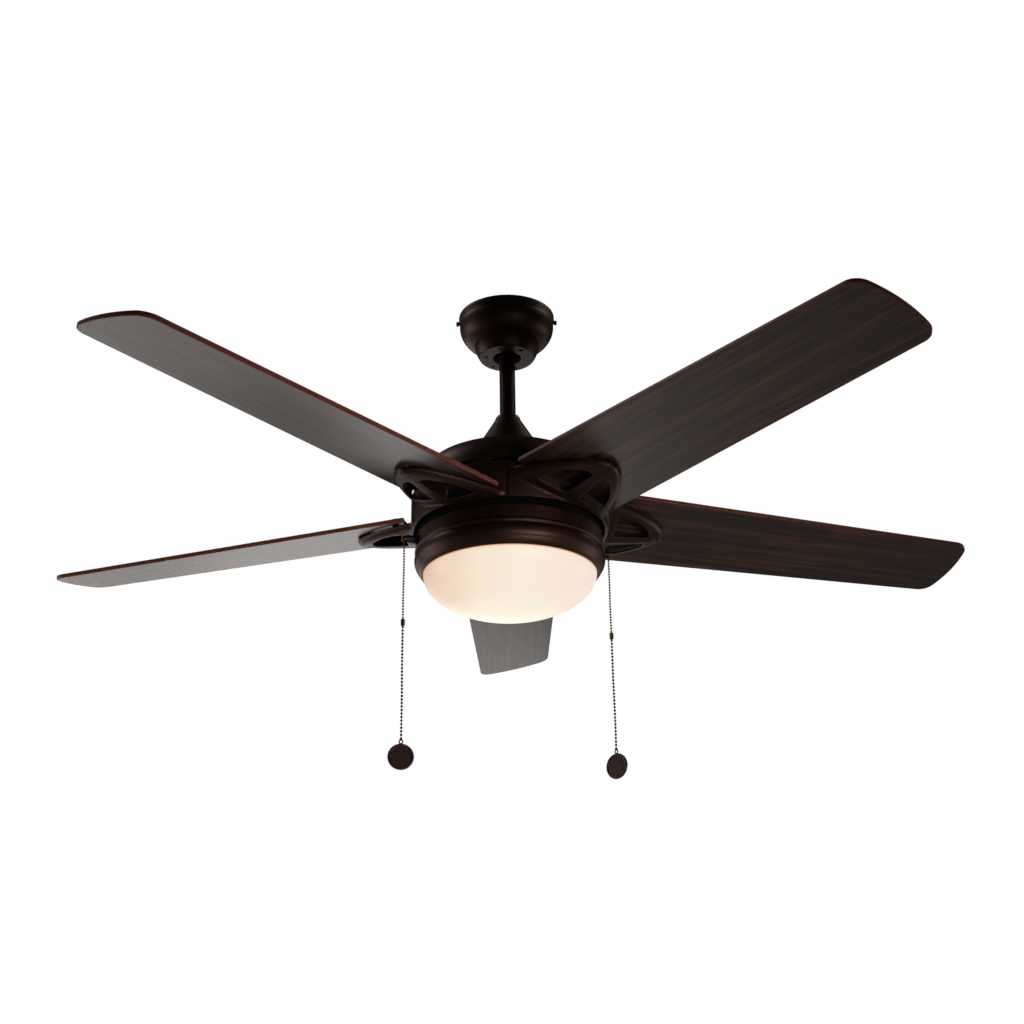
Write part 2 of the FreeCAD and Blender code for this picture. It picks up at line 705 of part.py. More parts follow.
def bladeScrews():
    screws = []
    for i in range(bladeCount):
        for u, v, low in bossPlaces:
            screw = panHead(V(u, v, bladeThick + 1.2), V(0, 0, -1), screwHoleR, 13.0, 4.2, 2.2)
            screws.append(inBladeFrame(screw, bladeAzimuth(i)))
    return group(screws)


def bladeGrommets():
    rings = []
    for i in range(bladeCount):
        for u, v, low in bossPlaces:
            washer = Part.makeCylinder(5.6, 1.2, V(u, v, bladeThick))
            sleeve = Part.makeCylinder(sleeveR, bladeThick, V(u, v, 0))
            piece = washer.fuse(sleeve).cut(Part.makeCylinder(screwHoleR, 20, V(u, v, -5)))
            rings.append(inBladeFrame(piece.removeSplitter(), bladeAzimuth(i)))
    return group(rings)


def armScrews():
    screws = []
    for i in range(bladeCount):
        for off in (-15.0, 15.0):
            start = V(off, -72.0, motorBottomZ - 4.0)
            screw = panHead(start, UP, 2.4, 6.8, 4.6, 2.8)
            screws.append(turned(screw, bladeAzimuth(i)))
    return group(screws)


def bladeAzimuth(i):
    return firstBladeAzimuth + 72.0 * i


# Pull chains.
def chainTube(foot, radius, high, low):
    return rod(V(foot.x, foot.y, high), V(foot.x, foot.y, low), radius)


def chainConnector(foot):
    """Bell that joins the fine and the coarse chain."""
    half = connectorHigh / 2
    bell = spun([(0, half), (1.6, half), ((connectorR, half - 1.6), (connectorR, 0.6)),
                 (connectorR, -half + 0.8), (connectorR - 0.7, -half), (0, -half)])
    bell.translate(V(foot.x, foot.y, chainJoinZ))
    return bell


def chainFob(foot, face):
    """Medallion with a raised rim and an eyelet; face is the azimuth it looks towards."""
    centreZ = chainEndZ - connectorR - fobR - 3.6
    half = fobThick / 2
    disc = spun([(0, -half + 0.8), (fobR - 3.2, -half + 0.8),
                 ((fobR - 2.6, -half + 0.2), (fobR - 1.6, -half)),
                 ((fobR, 0), (fobR - 1.6, half)),
                 ((fobR - 2.6, half - 0.2), (fobR - 3.2, half - 0.8)), (0, half - 0.8)])
    disc.rotate(V(0, 0, 0), V(1, 0, 0), 90)
    eye = Part.makeTorus(2.2, 0.8, V(0, 0, fobR + 2.2), V(0, 1, 0))
    stem = rod(V(0, 0, fobR + 4.2), V(0, 0, chainEndZ - centreZ), 1.7)
    piece = fused([disc, eye, stem])
    piece.rotate(V(0, 0, 0), UP, face)
    piece.translate(V(foot.x, foot.y, centreZ))
    return piece


# The nodes.
nodes = {
    "hanger_bracket": hangerBracket(), "canopy": canopy(), "canopy_screws": canopyScrews(),
    "hanger_ball": hangerBall(), "ball_pin": ballPin(), "ball_set_screw": ballSetScrew(),
    "downrod": downrod(), "coupling": coupling(), "coupling_set_screws": couplingScrews(),
    "clevis_pin": clevisPin(), "cotter_pin": cotterPin(), "coupling_cover": couplingCover(),
    "motor_dome": motorDome(), "dome_screws": domeScrews(), "motor_shaft": motorShaft(),
    "stator_core": statorCore(), "stator_windings": statorWindings(),
    "mounting_plate": mountingPlate(), "shaft_nut": shaftNut(),
    "lower_housing": lowerHousing(), "housing_screws": housingScrews(),
    "capacitor": capacitor(), "reverse_switch": reverseSwitch(), "reverse_knob": reverseKnob(),
    "light_pan": lightPan(), "pan_screws": panScrews(), "lamp_sockets": lampSockets(),
    "bulbs": bulbs(), "glass_bowl": glassBowl(),
    "rotor_upper_cover": rotorUpperCover(), "rotor_lower_cover": rotorLowerCover(),
    "rotor_cage": rotorCage(),
    "upper_bearing": bearing(motorTopZ - 3.0 - bearingHigh),
    "lower_bearing": bearing(motorBottomZ + 3.0),
    "blade_screws": bladeScrews(), "blade_grommets": bladeGrommets(), "arm_screws": armScrews(),
}
for i in range(bladeCount):
    nodes["blade_arm_%d" % (i + 1)] = bladeArm(bladeAzimuth(i))
    nodes["blade_%d" % (i + 1)] = blade(bladeAzimuth(i))
pulls = [
    # name, azimuth, reach of the mouthpiece, azimuth that the fob faces
    ("fan", pullAzimuth, fanTipR, 8.0), ("light", pullAzimuth + 180.0, lightTipR, -40.0),
]
for name, azimuth, tipR, face in pulls:
    foot = polar(tipR - 4.0, azimuth)
    nodes[name + "_switch"] = pullSwitch(azimuth, tipR)
    nodes[name + "_switch_tip"] = nippleTip(azimuth, tipR)
    nodes[name + "_chain_upper"] = chainTube(foot, chainR, chainTopZ, chainJoinZ + connectorHigh / 2)
    nodes[name + "_chain_connector"] = chainConnector(foot)
    nodes[name + "_chain_lower"] = chainTube(foot, chainLowR, chainJoinZ - connectorHigh / 2, chainEndZ)
    nodes[name + "_chain_fob"] = chainFob(foot, face)

os.makedirs("parts", exist_ok=True)
for name, shape in nodes.items():
    if not shape.isValid():
        print("not valid:", name)
    print("%-22s solids %2d  volume %9.0f" % (name, len(shape.Solids), shape.Volume))
    shape.exportStep("parts/" + name + ".step")
print(len(nodes), "nodes")
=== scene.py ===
import bpy, json, math
import numpy as np
from mathutils import Matrix, Vector


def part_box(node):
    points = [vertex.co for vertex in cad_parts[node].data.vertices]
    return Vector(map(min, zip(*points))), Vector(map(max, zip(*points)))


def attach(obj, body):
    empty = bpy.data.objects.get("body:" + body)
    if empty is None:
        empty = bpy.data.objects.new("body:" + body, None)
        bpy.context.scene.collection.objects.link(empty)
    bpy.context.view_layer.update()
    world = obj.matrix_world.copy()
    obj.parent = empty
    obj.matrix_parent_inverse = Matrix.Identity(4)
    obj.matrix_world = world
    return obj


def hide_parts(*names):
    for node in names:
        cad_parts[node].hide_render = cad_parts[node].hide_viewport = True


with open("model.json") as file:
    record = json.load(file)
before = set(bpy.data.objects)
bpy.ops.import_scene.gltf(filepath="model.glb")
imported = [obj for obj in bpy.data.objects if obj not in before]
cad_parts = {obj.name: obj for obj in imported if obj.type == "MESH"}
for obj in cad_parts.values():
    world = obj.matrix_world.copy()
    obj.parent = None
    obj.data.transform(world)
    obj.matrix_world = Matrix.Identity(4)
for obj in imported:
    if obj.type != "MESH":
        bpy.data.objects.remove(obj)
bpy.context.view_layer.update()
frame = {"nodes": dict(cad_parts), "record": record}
nodes = frame["nodes"]
print("loaded", len(nodes), "nodes")

millimetre = 0.001


# small helpers
def linear(hexColour):
    # sRGB hex to the linear colour that Blender's sockets take
    out = []
    for i in (0, 2, 4):
        c = int(hexColour.lstrip("#")[i:i + 2], 16) / 255
        out.append(c / 12.92 if c <= 0.04045 else ((c + 0.055) / 1.055) ** 2.4)
    return (*out, 1.0)


def addNode(tree, kind, settings=None, links=None):
    # settings: socket or property to value, links: input socket to another node's output
    node = tree.nodes.new(kind)
    for key, value in (settings or {}).items():
        if isinstance(key, int) or key in node.inputs:
            node.inputs[key].default_value = value
        else:
            setattr(node, key, value)
    for key, source in (links or {}).items():
        tree.links.new(source, node.inputs[key])
    return node


def newMaterial(name, principled):
    material = bpy.data.materials.new(name)
    material.use_nodes = True
    tree = material.node_tree
    shader = tree.nodes["Principled BSDF"]
    for key, value in principled.items():
        shader.inputs[key].default_value = value
    return material, tree, shader


def setRamp(ramp, stops):
    elements = ramp.color_ramp.elements
    while len(elements) > 1:
        elements.remove(elements[-1])
    elements[0].position, elements[0].color = stops[0][0], linear(stops[0][1])
    for position, colour in stops[1:]:
        elements.new(position).color = linear(colour)


# camera: a product shot from below, looking up at the fan
cameraSetup = {
    "bladePlane": -0.296,        # height of the blades, which the shot is centred on
    "distance": 1.7637, "below": 0.7382,
    "pitch": 22.90, "yaw": 0.12, "roll": -0.85, "lens": 51.57,
}


def makeCamera(setup):
    data = bpy.data.cameras.new("shotCamera")
    data.lens = setup["lens"]
    data.sensor_width = 36
    data.clip_start, data.clip_end = 0.05, 60
    camera = bpy.data.objects.new("shotCamera", data)
    bpy.context.scene.collection.objects.link(camera)
    pitch, yaw, roll = (math.radians(setup[k]) for k in ("pitch", "yaw", "roll"))
    forward = Vector((math.sin(yaw) * math.cos(pitch), math.cos(yaw) * math.cos(pitch), math.sin(pitch)))
    right = Vector((math.cos(yaw), -math.sin(yaw), 0))
    up = right.cross(forward)
    across = math.cos(roll) * right + math.sin(roll) * up
    top = math.cos(roll) * up - math.sin(roll) * right
    place = Vector((0, -setup["distance"], setup["bladePlane"] - setup["below"]))
    turn = Matrix((across, top, -forward)).transposed().to_4x4()
    camera.matrix_world = Matrix.Translation(place) @ turn
    bpy.context.scene.camera = camera


makeCamera(cameraSetup)
bpy.context.scene.view_settings.view_transform = "Standard"
print("camera set")


# light: white studio; wide boxes behind, one at each side and one above each, a narrow one in front
studio = {
    "background": "#FFFFFF", "fill": "#8F8A86", "fillStrength": 0.06,
    "floorDrop": 2.44, "floorSize": 14.0,
    # how wide a box throws its light, in degrees: an open one, and those with a grid
    "openSpread": 180,
    "spread": {"backLeftBox": 120, "backMiddleBox": 120, "backRightBox": 120,
               "backStripBox": 120, "backLowBox": 120, "frontBox": 18},
    "boxes": [
        # name, place, aim, width, height, watts, colour
        ("backLeftBox", (-2.0, 3.2, -1.0), (0, 0, -0.3), 1.4, 0.9, 2.1, "#FFFCFA"),
        ("backMiddleBox", (-0.2, 3.6, -1.0), (0, 0, -0.3), 1.6, 0.9, 4.4, "#FFFCFA"),
        ("backRightBox", (1.8, 3.3, -1.0), (0, 0, -0.3), 1.4, 0.9, 1.8, "#FFFCFA"),
        ("backStripBox", (-1.3, 3.5, -0.3), (0, 0, -0.3), 2.8, 0.4, 4.2, "#FFFAF6"),
        ("backLowBox", (-0.4, 2.3, -2.1), (0, 0, -0.3), 0.5, 0.4, 1.0, "#FFF4EC"),
        ("leftBox", (-2.4, 0.7, -0.7), (0, 0, -0.3), 0.8, 1.5, 15, "#FFF4EE"),
        ("rightBox", (2.4, 0.9, -1.0), (0, 0, -0.3), 0.8, 1.0, 9, "#FFF0E8"),
        ("frontBox", (1.1, -1.85, -1.2), (0.03, -0.1, -0.43), 1.0, 0.4, 0.65, "#FFF1E6"),
        ("highLeftBox", (-2.0, 0.6, 1.9), (0, 0, -0.2), 0.9, 0.9, 12, "#FFF8F2"),
        ("highRightBox", (2.0, 0.6, 1.9), (0, 0, -0.2), 0.9, 0.9, 12, "#FFF8F2"),
    ],
}


def makeStudio(setup):
    world = bpy.data.worlds.new("studioWorld")
    bpy.context.scene.world = world
    world.use_nodes = True
    tree = world.node_tree
    tree.nodes.clear()
    seen = addNode(tree, "ShaderNodeBackground", {"Color": linear(setup["background"]), "Strength": 1.0})
    felt = addNode(tree, "ShaderNodeBackground",
                   {"Color": linear(setup["fill"]), "Strength": setup["fillStrength"]})
    path = addNode(tree, "ShaderNodeLightPath")
    mix = addNode(tree, "ShaderNodeMixShader", None,
                  {0: path.outputs["Is Camera Ray"], 1: felt.outputs[0], 2: seen.outputs[0]})
    addNode(tree, "ShaderNodeOutputWorld", None, {"Surface": mix.outputs[0]})
    for name, place, aim, width, height, watts, colour in setup["boxes"]:
        light = bpy.data.lights.new(name, "AREA")
        light.shape = "RECTANGLE"
        light.size, light.size_y = width, height
        light.energy = watts
        light.color = linear(colour)[:3]
        light.spread = math.radians(setup["spread"].get(name, setup["openSpread"]))
        lamp = bpy.data.objects.new(name, light)
        bpy.context.scene.collection.objects.link(lamp)
        lamp.location = place
        lamp.rotation_euler = (Vector(aim) - Vector(place)).to_track_quat("-Z", "Y").to_euler()
        lamp.visible_camera = False
    mesh = bpy.data.meshes.new("studioFloor")
    half = setup["floorSize"] / 2
    corners = [(-half, -half), (half, -half), (half, half), (-half, half)]
    mesh.from_pydata([(x, y, -setup["floorDrop"]) for x, y in corners], [], [(0, 1, 2, 3)])
    floor = bpy.data.objects.new("studioFloor", mesh)
    bpy.context.scene.collection.objects.link(floor)
    paint = newMaterial("floorPaintMatt", {"Base Color": linear("#EDEBE8"), "Roughness": 0.8})[0]
    floor.data.materials.append(paint)


makeStudio(studio)
print("studio lit")


# materials
def objectCoords(tree, scale=(1, 1, 1)):
    place = addNode(tree, "ShaderNodeTexCoord")
    return addNode(tree, "ShaderNodeMapping", {"Scale": scale},
                   {"Vector": place.outputs["Object"]}).outputs["Vector"]


def addBump(tree, shader, height, strength, distanceMm):
    bump = addNode(tree, "ShaderNodeBump",
                   {"Strength": strength, "Distance": distanceMm * millimetre}, {"Height": height})
    tree.links.new(bump.outputs["Normal"], shader.inputs["Normal"])


def blended(tree, first, second, share):
    # a share of the first value and the rest of the second
    rest = addNode(tree, "ShaderNodeMath", {"operation": "MULTIPLY", 1: 1 - share}, {0: second})
    return addNode(tree, "ShaderNodeMath", {"operation": "MULTIPLY_ADD", 1: share},
                   {0: first, 2: rest.outputs[0]})


def speckled(name, dark, light, principled, grainMm, bumpMm, roughSpread=0.06):
    # a coating or casting whose colour and gloss vary by a fine grain
    material, tree, shader = newMaterial(name, principled)
    where = objectCoords(tree)
    grain = addNode(tree, "ShaderNodeTexNoise",
                    {"Scale": 1 / (grainMm * millimetre), "Detail": 3.0, "Roughness": 0.6}, {"Vector": where})
    cloud = addNode(tree, "ShaderNodeTexNoise", {"Scale": 22.0, "Detail": 2.0}, {"Vector": where})
    both = blended(tree, grain.outputs["Fac"], cloud.outputs["Fac"], 0.72)
    ramp = addNode(tree, "ShaderNodeValToRGB", None, {"Fac": both.outputs[0]})
    setRamp(ramp, [(0.36, dark), (0.66, light)])
    tree.links.new(ramp.outputs["Color"], shader.inputs["Base Color"])
    rough = principled["Roughness"]
    spread = addNode(tree, "ShaderNodeMapRange",
                     {"From Min": 0.3, "From Max": 0.7, "To Min": rough - roughSpread,
                      "To Max": rough + roughSpread}, {"Value": both.outputs[0]})
    tree.links.new(spread.outputs["Result"], shader.inputs["Roughness"])
    addBump(tree, shader, grain.outputs["Fac"], 0.25, bumpMm)
    return material


def bronzePowderCoat():
    # powder coat over spun and pressed steel: a dark brown satin with a faint metal sparkle
    return speckled("bronzePowderCoatedSteel", "#2A1B16", "#4A352C",
                    {"Metallic": 0.85, "Roughness": 0.46, "Coat Weight": 0.1, "Coat Roughness": 0.4},
                    1.1, 0.05)


def walnutVeneer():
    # walnut veneer under a satin lacquer: long dark and light grain, milky where it mirrors a light
    material, tree, shader = newMaterial("walnutVeneerLacquered",
                                         {"Roughness": 0.44, "IOR": 1.5, "Coat Weight": 0.25,
                                          "Coat Roughness": 0.30})
    shift = addNode(tree, "ShaderNodeObjectInfo")
    slide = addNode(tree, "ShaderNodeCombineXYZ", None, {"X": shift.outputs["Random"],
                                                         "Y": shift.outputs["Random"]})
    where = addNode(tree, "ShaderNodeTexCoord")
    moved = addNode(tree, "ShaderNodeVectorMath", {"operation": "ADD"},
                    {0: where.outputs["UV"], 1: slide.outputs[0]})
    # grain bands about 9 mm wide that run for a quarter of a metre
    wide = addNode(tree, "ShaderNodeMapping", {"Scale": (3.6, 110.0, 30.0)}, {"Vector": moved.outputs[0]})
    bands = addNode(tree, "ShaderNodeTexNoise", {"Scale": 1.0, "Detail": 4.0, "Roughness": 0.55,
                                                 "Distortion": 0.5}, {"Vector": wide.outputs[0]})
    # pores and fibres, drawn 1.5 mm wide so that they show
    fine = addNode(tree, "ShaderNodeMapping", {"Scale": (14.0, 640.0, 60.0)}, {"Vector": moved.outputs[0]})
    fibres = addNode(tree, "ShaderNodeTexNoise", {"Scale": 1.0, "Detail": 3.0, "Roughness": 0.7},
                     {"Vector": fine.outputs[0]})
    mixed = blended(tree, fibres.outputs["Fac"], bands.outputs["Fac"], 0.38)
    ramp = addNode(tree, "ShaderNodeValToRGB", None, {"Fac": mixed.outputs[0]})
    setRamp(ramp, [(0.36, "#0C0705"), (0.47, "#1C100B"), (0.56, "#43271A"), (0.68, "#6A432E")])
    tree.links.new(ramp.outputs["Color"], shader.inputs["Base Color"])
    addBump(tree, shader, fibres.outputs["Fac"], 0.18, 0.08)
    return material


def walnutEdge():
    # the stained cut edge of the board: red-brown, with the plies as thin lines
    return speckled("walnutStainedEdge", "#5E2F22", "#8A4A38",
                    {"Roughness": 0.5, "Specular IOR Level": 0.4}, 2.4, 0.05)


def opalGlass():
    # blown opal glass, etched outside and lit from within: cream over the lamps, peach to one side
    material, tree, shader = newMaterial("opalGlassEtched",
                                         {"Roughness": 0.42, "IOR": 1.5, "Specular IOR Level": 0.22})
    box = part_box("glass_bowl")
    place = addNode(tree, "ShaderNodeTexCoord")
    split = addNode(tree, "ShaderNodeSeparateXYZ", None, {0: place.outputs["Object"]})
    side = addNode(tree, "ShaderNodeMapRange", {"From Min": box[0][0], "From Max": box[1][0]},
                   {"Value": split.outputs["X"]})
    tint = addNode(tree, "ShaderNodeValToRGB", None, {"Fac": side.outputs["Result"]})
    setRamp(tint, [(0.0, "#E2C4AC"), (0.12, "#F6DCC6"), (0.32, "#FFEDD8"),
                   (0.55, "#FFF3E2"), (0.80, "#FFECDE"), (1.0, "#F8E6DC")])
    hot = addNode(tree, "ShaderNodeVectorMath", {"operation": "DISTANCE", 1: (0.008, 0.0, box[0][2] + 0.012)},
                  {0: place.outputs["Object"]})
    near = addNode(tree, "ShaderNodeMapRange",
                   {"interpolation_type": "SMOOTHERSTEP", "From Min": 0.095, "From Max": 0.012,
                    "To Min": 0.0, "To Max": 1.0}, {"Value": hot.outputs["Value"]})
    glow = addNode(tree, "ShaderNodeMix", {"data_type": "RGBA", 7: linear("#FFF5E2")},
                   {0: near.outputs["Result"], 6: tint.outputs["Color"]})
    # a thin orange line where the glass meets the metal
    lineStart, lineFull = box[1][2] - 0.0113, box[1][2] - 0.0086
    level = addNode(tree, "ShaderNodeMapRange",
                    {"From Min": lineStart, "From Max": lineFull, "To Min": 0.0, "To Max": 1.0},
                    {"Value": split.outputs["Z"]})
    warm = addNode(tree, "ShaderNodeMix", {"data_type": "RGBA", 7: linear("#E28C22")},
                   {0: level.outputs["Result"], 6: glow.outputs[2]})
    tree.links.new(warm.outputs[2], shader.inputs["Emission Color"])
    body = addNode(tree, "ShaderNodeMix", {"data_type": "RGBA", 0: 0.85, 7: linear("#3A322C")},
                   {6: warm.outputs[2]})
    tree.links.new(body.outputs[2], shader.inputs["Base Color"])
    shader.inputs["Emission Strength"].default_value = 0.86
    return material


def agedBrass():
    # brass beads darkened in a bath: black in the hollows, a warm glint on each crown
    return speckled("agedBrass", "#2A1B10", "#6A4A28",
                    {"Metallic": 0.9, "Roughness": 0.34}, 2.0, 0.03)



def tarnishedBrass():
    # brass tube gone brown: dull yellow where it catches the light, nearly black beside it
    return speckled("brassTarnished", "#4A3722", "#8A6E45", {"Metallic": 1.0, "Roughness": 0.36}, 1.5, 0.02)


def castBronze():
    # cast and browned medallion: dull brown face, softly shining on its raised rim
    return speckled("castBronzeBrowned", "#3B2D29", "#6B564E",
                    {"Metallic": 0.5, "Roughness": 0.44}, 1.6, 0.06)


def zincPlate():
    return speckled("zincPlatedSteel", "#8E9094", "#B9BBBE", {"Metallic": 1.0, "Roughness": 0.34}, 3.0, 0.02)


def screwBlack():
    return speckled("blackOxideSteel", "#1B1614", "#332824", {"Metallic": 0.8, "Roughness": 0.4}, 1.0, 0.02)


def nylonBlack():
    return speckled("nylonMoulded", "#141414", "#1F1F20", {"Roughness": 0.55, "IOR": 1.53}, 1.2, 0.03)


def castIron():
    return speckled("castIronOiled", "#2B2A28", "#46433F", {"Metallic": 0.7, "Roughness": 0.6}, 1.4, 0.15)


def siliconSteel():
    # punched sheets in a stack: thin level lines round the block
    material, tree, shader = newMaterial("siliconSteelStack", {"Metallic": 0.9, "Roughness": 0.45})
    where = objectCoords(tree, (1, 1, 1 / (1.0 * millimetre)))
    lines = addNode(tree, "ShaderNodeTexWave", {"bands_direction": "Z", "Scale": 0.16, "Distortion": 0.3},
                    {"Vector": where})
    ramp = addNode(tree, "ShaderNodeValToRGB", None, {"Fac": lines.outputs["Fac"]})
    setRamp(ramp, [(0.2, "#4C4D50"), (0.6, "#808184")])
    tree.links.new(ramp.outputs["Color"], shader.inputs["Base Color"])
    addBump(tree, shader, lines.outputs["Fac"], 0.4, 0.15)
    return material


def copperWire():
    # enamelled wire in layers: fine coils of orange-brown
    material, tree, shader = newMaterial("copperWireEnamelled", {"Metallic": 0.8, "Roughness": 0.35})
    where = objectCoords(tree)
    coils = addNode(tree, "ShaderNodeTexWave",
                    {"wave_type": "RINGS", "rings_direction": "Z", "Scale": 1 / (9.0 * millimetre) / 2,
                     "Distortion": 0.6}, {"Vector": where})
    ramp = addNode(tree, "ShaderNodeValToRGB", None, {"Fac": coils.outputs["Fac"]})
    setRamp(ramp, [(0.1, "#5A2A12"), (0.7, "#B5652F")])
    tree.links.new(ramp.outputs["Color"], shader.inputs["Base Color"])
    addBump(tree, shader, coils.outputs["Fac"], 0.6, 0.4)
    return material


def housingCoatWithPaintedShade(topFace):
    # the same powder coat; above its top face the upright ring inside is painted matt near-black, as painted
    # shade for the dark gap between the band and the housing
    material = bronzePowderCoat()
    material.name = "bronzePowderCoatBlackTop"
    tree = material.node_tree
    shader = tree.nodes["Principled BSDF"]
    place = addNode(tree, "ShaderNodeTexCoord")
    split = addNode(tree, "ShaderNodeSeparateXYZ", None, {0: place.outputs["Object"]})
    over = addNode(tree, "ShaderNodeMath", {"operation": "GREATER_THAN", 1: topFace},
                   {0: split.outputs["Z"]})
    dark = addNode(tree, "ShaderNodeTexNoise", {"Scale": 400.0, "Detail": 2.0},
                   {"Vector": place.outputs["Object"]})
    ramp = addNode(tree, "ShaderNodeValToRGB", None, {"Fac": dark.outputs["Fac"]})
    setRamp(ramp, [(0.3, "#040303"), (0.7, "#0A0807")])
    # a matt near-black shader: painted shade where the gap between band and housing lies in shadow
    paintedShadeShader = addNode(tree, "ShaderNodeBsdfPrincipled", {"Roughness": 0.9, "Specular IOR Level": 0.1},
                    {"Base Color": ramp.outputs["Color"]})
    both = addNode(tree, "ShaderNodeMixShader", None,
                   {0: over.outputs[0], 1: shader.outputs[0], 2: paintedShadeShader.outputs[0]})
    tree.links.new(both.outputs[0], tree.nodes["Material Output"].inputs["Surface"])
    return material


def absBlack():
    return speckled("absMoulded", "#0E0C0B", "#1A1715",
                    {"Roughness": 0.55, "IOR": 1.54, "Specular IOR Level": 0.3}, 0.9, 0.03)


def enamelWhite():
    return speckled("enamelBakedWhite", "#E6E4DF", "#F4F2EE", {"Roughness": 0.3, "IOR": 1.5}, 4.0, 0.03, 0.04)


def porcelain():
    return speckled("porcelainGlazed", "#E3E0D8", "#F1EEE6",
                    {"Roughness": 0.18, "IOR": 1.52}, 5.0, 0.03, 0.03)


def bulbGlass():
    return speckled("bulbGlassFrosted", "#FFE9C8", "#FFF4E0",
                    {"Roughness": 0.4, "Emission Color": linear("#FFDDAA"), "Emission Strength": 1.6},
                    3.0, 0.02, 0.03)


def castAluminium():
    return speckled("aluminiumDieCast", "#8D8F92", "#B0B2B4", {"Metallic": 1.0, "Roughness": 0.5}, 2.2, 0.08)


def bearingSteel():
    return speckled("bearingSteelGround", "#A9ABAF", "#CDCFD2",
                    {"Metallic": 1.0, "Roughness": 0.16}, 4.0, 0.01, 0.04)


def grommetRubber():
    return speckled("rubberMoulded", "#151515", "#222222", {"Roughness": 0.7, "IOR": 1.52}, 1.0, 0.05)


finishes = {
    "oil_rubbed_bronze": bronzePowderCoat(), "walnut_laminate": walnutVeneer(),
    "opal_glass": opalGlass(), "zinc_steel": zincPlate(), "dark_screw": screwBlack(),
    "nylon": nylonBlack(), "cast_iron": castIron(), "lamination_steel": siliconSteel(),
    "copper_wire": copperWire(), "black_plastic": absBlack(), "white_enamel": enamelWhite(),
    "white_porcelain": porcelain(), "bulb_opal": bulbGlass(), "cast_aluminium": castAluminium(),
    "bearing_steel": bearingSteel(), "rubber_grommet": grommetRubber(), "antique_brass": agedBrass(),
    "bronze_fob": castBronze(),
}
finishes["walnut_edge"] = walnutEdge()
finishes["tarnished_brass"] = tarnishedBrass()
# just above the height of the lower housing's top face, in metres; above it the ring carries painted shade
finishes["housing_coat"] = housingCoatWithPaintedShade(-0.3278)
print("materials made")


def dressNodes():
    for entry in frame["record"]["subparts"]:
        mesh = nodes[entry["node"]].data
        mesh.materials.clear()
        mesh.materials.append(finishes[entry["material_slot"]])
    # the lower housing takes the coat whose upright ring is painted near-black as painted shade
    nodes["lower_housing"].data.materials[0] = finishes["housing_coat"]
    for side in ("fan", "light"):
        nodes[side + "_chain_connector"].data.materials[0] = finishes["tarnished_brass"]


dressNodes()
print("nodes dressed")


# cords: the two bead pull chains, in metres from the route in the part's source
chainSetup = {
    "azimuth": {"fan": -76.0, "light": 104.0},
    "reach": {"fan": 0.1380, "light": 0.1330},
    "upper": {"route": [(0.0, 0.0, -0.3385), (0.0004, 0.0, -0.3750), (-0.0003, 0.0003, -0.4120),
                        (0.0, 0.0, -0.4455)],
              "length": 0.1070, "bead": 0.0014, "pitch": 0.0037, "link": 0.00032},
    "lower": {"route": [(0.0, 0.0, -0.4545), (-0.0004, 0.0003, -0.5020), (0.0004, 0.0, -0.5500),
                        (0.0, 0.0, -0.5970)],
              "length": 0.1425, "bead": 0.0016, "pitch": 0.0044, "link": 0.00038},
    "rings": 7, "sides": 12, "linkSides": 8,
    # shares of a bead's radius: the small flat at each pole, and where a link starts inside it
    "pole": 0.12, "linkFrom": 0.8,
}


def splinePoints(route):
    # the route's smooth line, as points close together
    data = bpy.data.curves.new("routeLine", "CURVE")
    data.dimensions = "3D"
    spline = data.splines.new("NURBS")
    spline.points.add(len(route) - 1)
    for point, place in zip(spline.points, route):
        point.co = (*place, 1.0)
    spline.order_u = 3
    spline.use_endpoint_u = True
    spline.resolution_u = 40
    holder = bpy.data.objects.new("routeLine", data)
    bpy.context.scene.collection.objects.link(holder)
    bpy.context.view_layer.update()
    mesh = bpy.data.meshes.new_from_object(holder)
    points = [v.co.copy() for v in mesh.vertices]
    bpy.data.objects.remove(holder)
    bpy.data.meshes.remove(mesh)
    return points


def pointsAtPitch(points, pitch, start):
    # places along a line, one each pitch, with the line's direction there
    out, due, walked = [], start, 0.0
    for a, b in zip(points, points[1:]):
        step = (b - a).length
        while step > 0 and due <= walked + step:
            out.append((a.lerp(b, (due - walked) / step), (b - a).normalized()))
            due += pitch
        walked += step
    return out


def spunProfile(verts, faces, centre, along, profile, sides):
    # rings of radius r at height h along the direction, closed at both ends
    turn = Vector((0, 0, 1)).rotation_difference(along)
    base = len(verts)
    for height, radius in profile:
        for i in range(sides):
            a = 2 * math.pi * i / sides
            verts.append(centre + turn @ Vector((radius * math.cos(a), radius * math.sin(a), height)))
    for j in range(len(profile) - 1):
        for i in range(sides):
            k = (i + 1) % sides
            faces.append((base + j * sides + i, base + j * sides + k,
                          base + (j + 1) * sides + k, base + (j + 1) * sides + i))
    faces.append(tuple(base + i for i in reversed(range(sides))))
    last = base + (len(profile) - 1) * sides
    faces.append(tuple(last + i for i in range(sides)))


def newPiece(name, verts, faces, materials, smooth=True):
    mesh = bpy.data.meshes.new(name)
    mesh.from_pydata(verts, [], faces)
    for material in materials:
        mesh.materials.append(material)
    mesh.polygons.foreach_set("use_smooth", [smooth] * len(mesh.polygons))
    mesh.update()
    piece = bpy.data.objects.new(name, mesh)
    bpy.context.scene.collection.objects.link(piece)
    return piece


